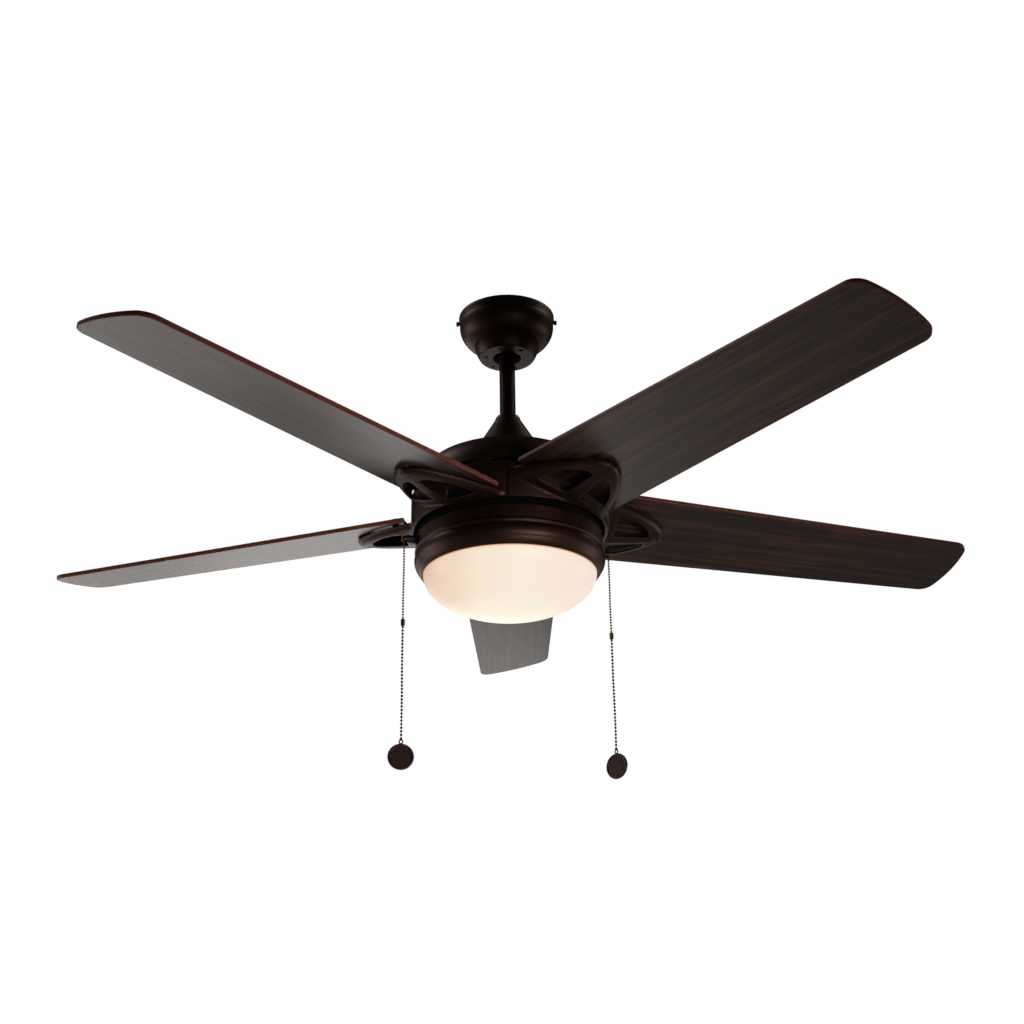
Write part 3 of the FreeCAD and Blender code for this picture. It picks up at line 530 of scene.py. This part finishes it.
def makeChain(side, part, setup):
    run = setup[part]
    a = math.radians(setup["azimuth"][side])
    foot = Vector((setup["reach"][side] * math.sin(a), -setup["reach"][side] * math.cos(a), 0))
    points = splinePoints([foot + Vector(p) for p in run["route"]])
    verts, faces = [], []
    ball = [(-math.cos(math.pi * j / setup["rings"]) * run["bead"],
             max(math.sin(math.pi * j / setup["rings"]) * run["bead"], run["bead"] * setup["pole"]))
            for j in range(setup["rings"] + 1)]
    beads = pointsAtPitch(points, run["pitch"], run["bead"])
    for centre, along in beads:
        spunProfile(verts, faces, centre, along, ball, setup["sides"])
    for (here, _), (there, _) in zip(beads, beads[1:]):
        gap = (there - here).length
        start = run["bead"] * setup["linkFrom"]
        pin = [(start, run["link"]), (gap - start, run["link"])]
        spunProfile(verts, faces, here, (there - here).normalized(), pin, setup["linkSides"])
    piece = newPiece(side + "Chain" + part.capitalize(), verts, faces, [finishes["antique_brass"]])
    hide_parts(side + "_chain_" + part)
    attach(piece, side + "_pull")


for side in ("fan", "light"):
    for part in ("upper", "lower"):
        makeChain(side, part, chainSetup)
print("chains hung")


# blades: boards with softened edges, each mapped so that the grain runs along it
bladeSetup = {
    "tip": 660.0, "rootU": 117.5, "rootHalf": 74.5, "hollow": 13.5, "tipHalf": 58.3, "crown": 8.6,
    "tipRound": 20.0, "rootRound": 3.0, "thick": 5.6, "soften": 1.1,
    "plane": -0.296, "pitch": 12.6, "droop": 0.7, "first": 35.5, "count": 5,
    # steps that draw the tip, its corner, the root's corner, the root and the softened edge
    "tipSteps": 12, "tipCornerSteps": 10, "rootCornerSteps": 8, "rootSteps": 14, "edgeSteps": 4,
}


def roundedCorner(onLine, along, inward, centre, reach, radius, near):
    # centre of the rounding between a straight edge and an arc, and its two touching directions
    offset = onLine + inward * radius - centre
    b, c = offset.dot(along), offset.length_squared - reach * reach
    root = math.sqrt(b * b - c)
    spots = [onLine + inward * radius + along * (s - b) for s in (root, -root)]
    return min(spots, key=lambda p: (p - near).length)


def fanned(centre, radius, start, end, steps):
    # points and outward directions along an arc that turns left from one direction to another
    a0 = math.atan2(start.y, start.x)
    a1 = math.atan2(end.y, end.x)
    while a1 < a0:
        a1 += 2 * math.pi
    out = []
    for i in range(steps + 1):
        a = a0 + (a1 - a0) * i / steps
        d = Vector((math.cos(a), math.sin(a)))
        out.append((centre + d * radius, d))
    return out


def bladeOutline(setup):
    # right-hand half from the tip's middle to the root's middle; the other half is its mirror
    shoulder = setup["tip"] - setup["crown"]
    tipArc = (setup["crown"] ** 2 + setup["tipHalf"] ** 2) / (2 * setup["crown"])
    tipCentre = Vector((setup["tip"] - tipArc, 0))
    rootArc = (setup["hollow"] ** 2 + setup["rootHalf"] ** 2) / (2 * setup["hollow"])
    rootCentre = Vector((setup["rootU"] + setup["hollow"] - rootArc, 0))
    tipCorner, rootCorner = Vector((shoulder, setup["tipHalf"])), Vector((setup["rootU"], setup["rootHalf"]))
    along = (rootCorner - tipCorner).normalized()
    outward = Vector((-along.y, along.x)) if along.x > 0 else Vector((along.y, -along.x))
    tipSpot = roundedCorner(tipCorner, along, -outward, tipCentre, tipArc - setup["tipRound"],
                            setup["tipRound"], tipCorner)
    rootSpot = roundedCorner(tipCorner, along, -outward, rootCentre, rootArc + setup["rootRound"],
                             setup["rootRound"], rootCorner)
    half = fanned(tipCentre, tipArc, Vector((1, 0)), tipSpot - tipCentre, setup["tipSteps"])
    half += fanned(tipSpot, setup["tipRound"], tipSpot - tipCentre, outward,
                   setup["tipCornerSteps"])[1:]
    half += fanned(rootSpot, setup["rootRound"], outward, rootCentre - rootSpot,
                   setup["rootCornerSteps"])
    inner = fanned(rootCentre, rootArc, Vector((1, 0)), rootSpot - rootCentre, setup["rootSteps"])
    half += [(p, -d) for p, d in reversed(inner)][1:]
    mirror = [(Vector((p.x, -p.y)), Vector((d.x, -d.y))) for p, d in reversed(half)]
    return half + mirror[1:-1]


def bladeMesh(setup):
    outline = bladeOutline(setup)
    soft, thick = setup["soften"], setup["thick"]
    steps = [i * math.pi / 2 / setup["edgeSteps"] for i in range(setup["edgeSteps"] + 1)]
    rings = [(soft * (1 - math.sin(a)), soft * (1 - math.cos(a))) for a in steps]
    rings += [(inset, thick - w) for inset, w in reversed(rings)]
    verts, faces, count = [], [], len(outline)
    for inset, w in rings:
        for p, d in outline:
            q = p - d * inset
            verts.append((q.x * millimetre, q.y * millimetre, w * millimetre))
    for j in range(len(rings) - 1):
        for i in range(count):
            k = (i + 1) % count
            faces.append((j * count + i, j * count + k, (j + 1) * count + k, (j + 1) * count + i))
    faces.append(tuple(reversed(range(count))))
    faces.append(tuple((len(rings) - 1) * count + i for i in range(count)))
    mesh = bpy.data.meshes.new("bladeBoard")
    mesh.from_pydata(verts, [], faces)
    mesh.materials.append(finishes["walnut_laminate"])
    mesh.materials.append(finishes["walnut_edge"])
    sides = len(faces) - 2
    mesh.polygons.foreach_set("material_index", [1] * sides + [0, 0])
    mesh.polygons.foreach_set("use_smooth", [True] * sides + [False, False])
    # a map in metres along and across the board, which the grain follows
    across = mesh.uv_layers.new(name="boardMap")
    for loop in mesh.loops:
        across.data[loop.index].uv = mesh.vertices[loop.vertex_index].co[:2]
    mesh.update()
    return mesh


def bladeTurn(setup, index, tilted):
    turn = Matrix.Rotation(math.radians(setup["first"] + 360 / setup["count"] * index - 90), 4, "Z")
    if tilted:
        turn = turn @ Matrix.Rotation(math.radians(setup["droop"]), 4, "Y")
        turn = turn @ Matrix.Rotation(math.radians(-setup["pitch"]), 4, "X")
    return Matrix.Translation((0, 0, setup["plane"])) @ turn


boardMesh = bladeMesh(bladeSetup)
for index in range(bladeSetup["count"]):
    turned = boardMesh.copy()
    turned.transform(bladeTurn(bladeSetup, index, True))
    board = bpy.data.objects.new("bladeBoard%d" % (index + 1), turned)
    bpy.context.scene.collection.objects.link(board)
    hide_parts("blade_%d" % (index + 1))
    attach(board, "rotor")
print("blades made")


# blade arms: cast shells from a smooth field, with rounded rims, windows and a seam along the keel
armSetup = {
    "rootU": 96.0, "tipU": 214.0, "halfWidth": 77.0, "planPower": 1.15, "planRound": 0.55,
    "rim": -2.0, "rimEdge": 3.0, "keel": 24.0, "keelRise": 15.0, "wall": 2.6,
    # how full the section is on each side of the keel: power and roundness
    "fullSide": (2.4, 0.55), "flatSide": (1.8, 0.85),
    "seamDeep": 0.7, "seamHalf": 0.85,
    "window": [(188.5, 7.0), (187.5, 18.5), (162.5, 40.0), (132.5, 51.0), (138.5, 10.0)],
    "windowRound": 5.5,
    # the rib under the keel: its two ends out from the axis and half its thickness
    "rib": (122.0, 197.0, 1.6), "ribFillet": 4.0,
    "bosses": [(197.0, 0.0), (137.0, -55.0), (137.0, 55.0)], "bossR": 4.6, "bossLow": -12.0,
    "bandR": 127.6, "bandInnerR": 124.0, "bandLow": -25.2, "bandHigh": 22.8, "seam": 1.4,
    "keelPower": 1.5, "leastHalf": 4.0,
    # widths over which one surface runs into the next
    "blend": {"plan": 6.0, "wall": 0.8, "rim": 1.2, "window": 2.0, "rib": 0.6, "trim": 0.6,
              "boss": 0.8, "bossFoot": 1.5, "low": 1.0},
    # small clearances: inside the skin, under and over the rim, and at the band's face, seam and lower edge
    "inside": 1.0, "underRim": 0.5, "overRim": 0.3, "bandFace": 0.3, "bandDeep": 1.2, "seamSpare": 0.5,
    "lowSpare": 0.15, "bossHigh": -0.1,
    "cell": 1.1, "low": (98.0, -81.0, -27.5), "high": (216.5, 81.0, 1.5),
}


def softMax(a, b, k):
    h = np.clip(0.5 - 0.5 * (a - b) / k, 0, 1)
    return a + (b - a) * h + k * h * (1 - h)


def softMin(a, b, k):
    return -softMax(-a, -b, k)


def armBottom(setup, u, v):
    # height of the outer skin under the blade
    s = np.clip((u - setup["rootU"]) / (setup["tipU"] - setup["rootU"]), 0, 1)
    half = setup["halfWidth"] * (1 - s ** setup["planPower"]) ** setup["planRound"]
    t = np.clip(np.abs(v) / np.maximum(half, setup["leastHalf"]), 0, 1)
    rise = setup["keelRise"] * s ** setup["keelPower"]
    deep = setup["keel"] - rise + setup["rim"] - setup["rimEdge"]
    full, flat = ((1 - t ** p) ** q for p, q in (setup["fullSide"], setup["flatSide"]))
    return setup["rim"] - setup["rimEdge"] - deep * np.where(v < 0, full, flat)


def armOuter(setup, u, v, w):
    s = np.maximum((u - setup["rootU"]) / (setup["tipU"] - setup["rootU"]), 1e-3)
    e = 1 / setup["planRound"]
    y = np.maximum(np.abs(v) / setup["halfWidth"], 1e-3)
    level = s ** setup["planPower"] + y ** e - 1
    alongU = setup["planPower"] * s ** (setup["planPower"] - 1) / (setup["tipU"] - setup["rootU"])
    alongV = e * y ** (e - 1) / setup["halfWidth"]
    plan = level / np.sqrt(alongU ** 2 + alongV ** 2)
    h = 0.4
    under = armBottom(setup, u, v)
    slopeU = (armBottom(setup, u + h, v) - armBottom(setup, u - h, v)) / (2 * h)
    slopeV = (armBottom(setup, u, v + h) - armBottom(setup, u, v - h)) / (2 * h)
    skin = (under - w) / np.sqrt(1 + slopeU ** 2 + slopeV ** 2)
    return softMax(plan, skin, setup["blend"]["plan"])


def armWindow(setup, u, v):
    # signed distance from the window's edge, about; it lies on both sides of the keel
    y = np.abs(v)
    corners = setup["window"]
    out = None
    for (u0, v0), (u1, v1) in zip(corners, corners[1:] + corners[:1]):
        size = math.hypot(u1 - u0, v1 - v0)
        edge = ((v0 - y) * (u1 - u0) - (u0 - u) * (v1 - v0)) / size
        out = edge if out is None else softMax(out, edge, setup["windowRound"])
    return out


def toFan(setup, u, v, w):
    # from the blade's frame to the fan's, with the arm along X
    p, d = math.radians(setup["pitch"]), math.radians(setup["droop"])
    y, z = v * math.cos(p) + w * math.sin(p), w * math.cos(p) - v * math.sin(p)
    return u * math.cos(d) + z * math.sin(d), y, z * math.cos(d) - u * math.sin(d)


def armField(setup, u, v, w):
    # signed distance from the casting's surface, about; negative inside the metal
    blend, rim, bandR = setup["blend"], setup["rim"], setup["bandR"]
    outer = armOuter(setup, u, v, w)
    groove = setup["seamDeep"] * np.exp(-(v / setup["seamHalf"]) ** 2)
    x, y, z = toFan(bladeSetup, u, v, w)
    r = np.sqrt(x * x + y * y)
    shell = softMax(outer + groove, -(outer + setup["wall"]), blend["wall"])
    shell = softMax(shell, w - rim, blend["rim"])
    shell = softMax(shell, -armWindow(setup, u, v), blend["window"])
    start, end, half = setup["rib"]
    rib = np.hypot(u - np.clip(u, start, end), v) - half
    rib = softMax(rib, np.maximum(w - rim + setup["underRim"], outer + setup["inside"]), blend["rib"])
    shell = softMin(shell, rib, setup["ribFillet"])
    band = np.maximum(r - bandR + setup["bandFace"], bandR - setup["bandDeep"] - r)
    shell = softMin(shell, band, setup["ribFillet"])
    shell = softMax(shell, w - rim - setup["overRim"], blend["trim"])
    for bu, bv in setup["bosses"]:
        ends = np.maximum(w - setup["bossHigh"], setup["bossLow"] - w)
        boss = softMax(np.hypot(u - bu, v - bv) - setup["bossR"],
                       np.maximum(ends, outer + setup["inside"]), blend["boss"])
        shell = softMin(shell, boss, blend["bossFoot"])
    shell = np.maximum(shell, bandR - setup["bandDeep"] - r)
    half = math.pi / bladeSetup["count"]
    # its own share of the ring, with the seams between neighbours
    side = np.abs(y) * math.cos(half) - x * math.sin(half) + setup["seam"] / 2 + setup["seamSpare"]
    shell = np.maximum(shell, side)
    return softMax(shell, setup["bandLow"] + setup["lowSpare"] - z, blend["low"])


def fieldSurface(field, low, high, cell):
    # one point in each cell that the surface crosses, moved onto it, and a quad round each crossed edge
    axes = [np.arange(a, b + cell, cell) for a, b in zip(low, high)]
    grid = field(*np.meshgrid(*axes, indexing="ij"))
    inside = grid < 0
    shape = [n - 1 for n in grid.shape]
    corners = [(i, j, k) for i in (0, 1) for j in (0, 1) for k in (0, 1)]

    def corner(values, c):
        return values[c[0]:c[0] + shape[0], c[1]:c[1] + shape[1], c[2]:c[2] + shape[2]]
    count = sum(corner(inside, c).astype(np.int8) for c in corners)
    used = (count > 0) & (count < 8)
    index = np.full(shape, -1)
    index[used] = np.arange(used.sum())
    total, weight = np.zeros((used.sum(), 3)), np.zeros(used.sum())
    for a in corners:
        for axis in range(3):
            if a[axis]:
                continue
            b = tuple(1 if i == axis else a[i] for i in range(3))
            fa, fb = corner(grid, a)[used], corner(grid, b)[used]
            crossed = (fa < 0) != (fb < 0)
            share = np.where(crossed, fa / np.where(crossed, fa - fb, 1), 0)
            spot = np.tile(np.array(a, float), (len(share), 1))
            spot[:, axis] = share
            total += spot * crossed[:, None]
            weight += crossed
    cells = np.argwhere(used)
    points = np.array(low) + (cells + total / weight[:, None]) * cell
    home = points.copy()
    h = cell * 0.1
    rounds, reach, leastSlope = 3, cell * 0.7, 0.05
    for _ in range(rounds):
        value = field(*points.T)
        slope = np.stack([(field(*(points + np.eye(3)[i] * h).T) - field(*(points - np.eye(3)[i] * h).T))
                          / (2 * h) for i in range(3)], axis=1)
        step = slope * (value / np.maximum((slope ** 2).sum(axis=1), leastSlope))[:, None]
        points = home + np.clip(points - step - home, -reach, reach)
    quads = []
    for axis in range(3):
        o, p = (axis + 1) % 3, (axis + 2) % 3
        near = np.take(inside, range(grid.shape[axis] - 1), axis)
        far = np.take(inside, range(1, grid.shape[axis]), axis)
        crossing = np.argwhere(near != far)
        keep = np.all([(crossing[:, q] > 0) & (crossing[:, q] < shape[q]) for q in (o, p)], axis=0)
        crossing = crossing[keep]
        outwards = near[tuple(crossing.T)]
        ring = []
        for so, sp in ((1, 1), (0, 1), (0, 0), (1, 0)):
            c = crossing.copy()
            c[:, o] -= so
            c[:, p] -= sp
            ring.append(index[tuple(c.T)])
        ring = np.stack(ring, axis=1)
        ring[outwards] = ring[outwards][:, ::-1]
        quads.append(ring[:, ::-1])
    return points, np.concatenate(quads)


def bandPanel(setup, verts, faces):
    # a fifth of the band, its long edges softened
    soft, steps = 0.7, 48
    low, high, inner, outer = setup["bandLow"], setup["bandHigh"], setup["bandInnerR"], setup["bandR"]
    arcs = [(outer - soft, low + soft, -90), (outer - soft, high - soft, 0),
            (inner + soft, high - soft, 90), (inner + soft, low + soft, 180)]
    profile = []
    for r, z, start in arcs:
        for i in range(4):
            a = math.radians(start + 30 * i)
            profile.append((r + soft * math.cos(a), z + soft * math.sin(a)))
    reach = math.pi / bladeSetup["count"] - setup["seam"] / 2 / outer
    base, n = len(verts), len(profile)
    for i in range(steps + 1):
        a = -reach + 2 * reach * i / steps
        verts.extend((r * math.cos(a), r * math.sin(a), z) for r, z in profile)
    for i in range(steps):
        for j in range(n):
            k = (j + 1) % n
            faces.append((base + i * n + j, base + (i + 1) * n + j, base + (i + 1) * n + k, base + i * n + k))
    for i, order in ((0, 1), (steps, -1)):
        ends = [verts[base + i * n + j] for j in range(n)][::order]
        faces.append(tuple(range(len(verts), len(verts) + n)))
        verts.extend(ends)


# the arm's foot: its reach from the axis, half width, heights and softened edges
tongueSetup = {"inner": 60.0, "outer": 124.6, "half": 25.0, "low": -14.0, "high": -10.0, "soft": 0.8}


def armTongue(setup, verts, faces):
    # the flat foot that the screws clamp under the motor, with its long edges softened
    inner, outer, half = setup["inner"], setup["outer"], setup["half"]
    low, high, soft = setup["low"], setup["high"], setup["soft"]
    rings = [(soft, low), (0.0, low + soft), (0.0, high - soft), (soft, high)]
    base = len(verts)
    for inset, z in rings:
        verts.extend([(inner + inset, -half + inset, z), (outer, -half + inset, z),
                      (outer, half - inset, z), (inner + inset, half - inset, z)])
    for j in range(3):
        for i in range(4):
            k = (i + 1) % 4
            faces.append((base + 4 * j + i, base + 4 * j + k, base + 4 * j + 4 + k, base + 4 * j + 4 + i))
    faces.append(tuple(base + i for i in (3, 2, 1, 0)))
    faces.append(tuple(base + 12 + i for i in range(4)))


def armMesh(setup):
    points, quads = fieldSurface(lambda u, v, w: armField(setup, u, v, w),
                                 setup["low"], setup["high"], setup["cell"])
    verts = np.stack(toFan(bladeSetup, *points.T), axis=1).tolist()
    faces = quads.tolist()
    cast = len(faces)
    bandPanel(setup, verts, faces)
    armTongue(tongueSetup, verts, faces)
    mesh = bpy.data.meshes.new("armCasting")
    mesh.from_pydata([(x * millimetre, y * millimetre, z * millimetre) for x, y, z in verts], [], faces)
    mesh.materials.append(finishes["oil_rubbed_bronze"])
    # the foot's last faces stay flat
    flat = 11
    mesh.polygons.foreach_set("use_smooth", [True] * (len(faces) - flat) + [False] * flat)
    mesh.update()
    print("arm mesh", len(verts), "points,", cast, "cast faces")
    return mesh


castingMesh = armMesh(armSetup)
for index in range(bladeSetup["count"]):
    arm = bpy.data.objects.new("armCasting%d" % (index + 1), castingMesh)
    bpy.context.scene.collection.objects.link(arm)
    arm.matrix_world = bladeTurn(bladeSetup, index, False)
    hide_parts("blade_arm_%d" % (index + 1))
    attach(arm, "rotor")
print("arms cast")
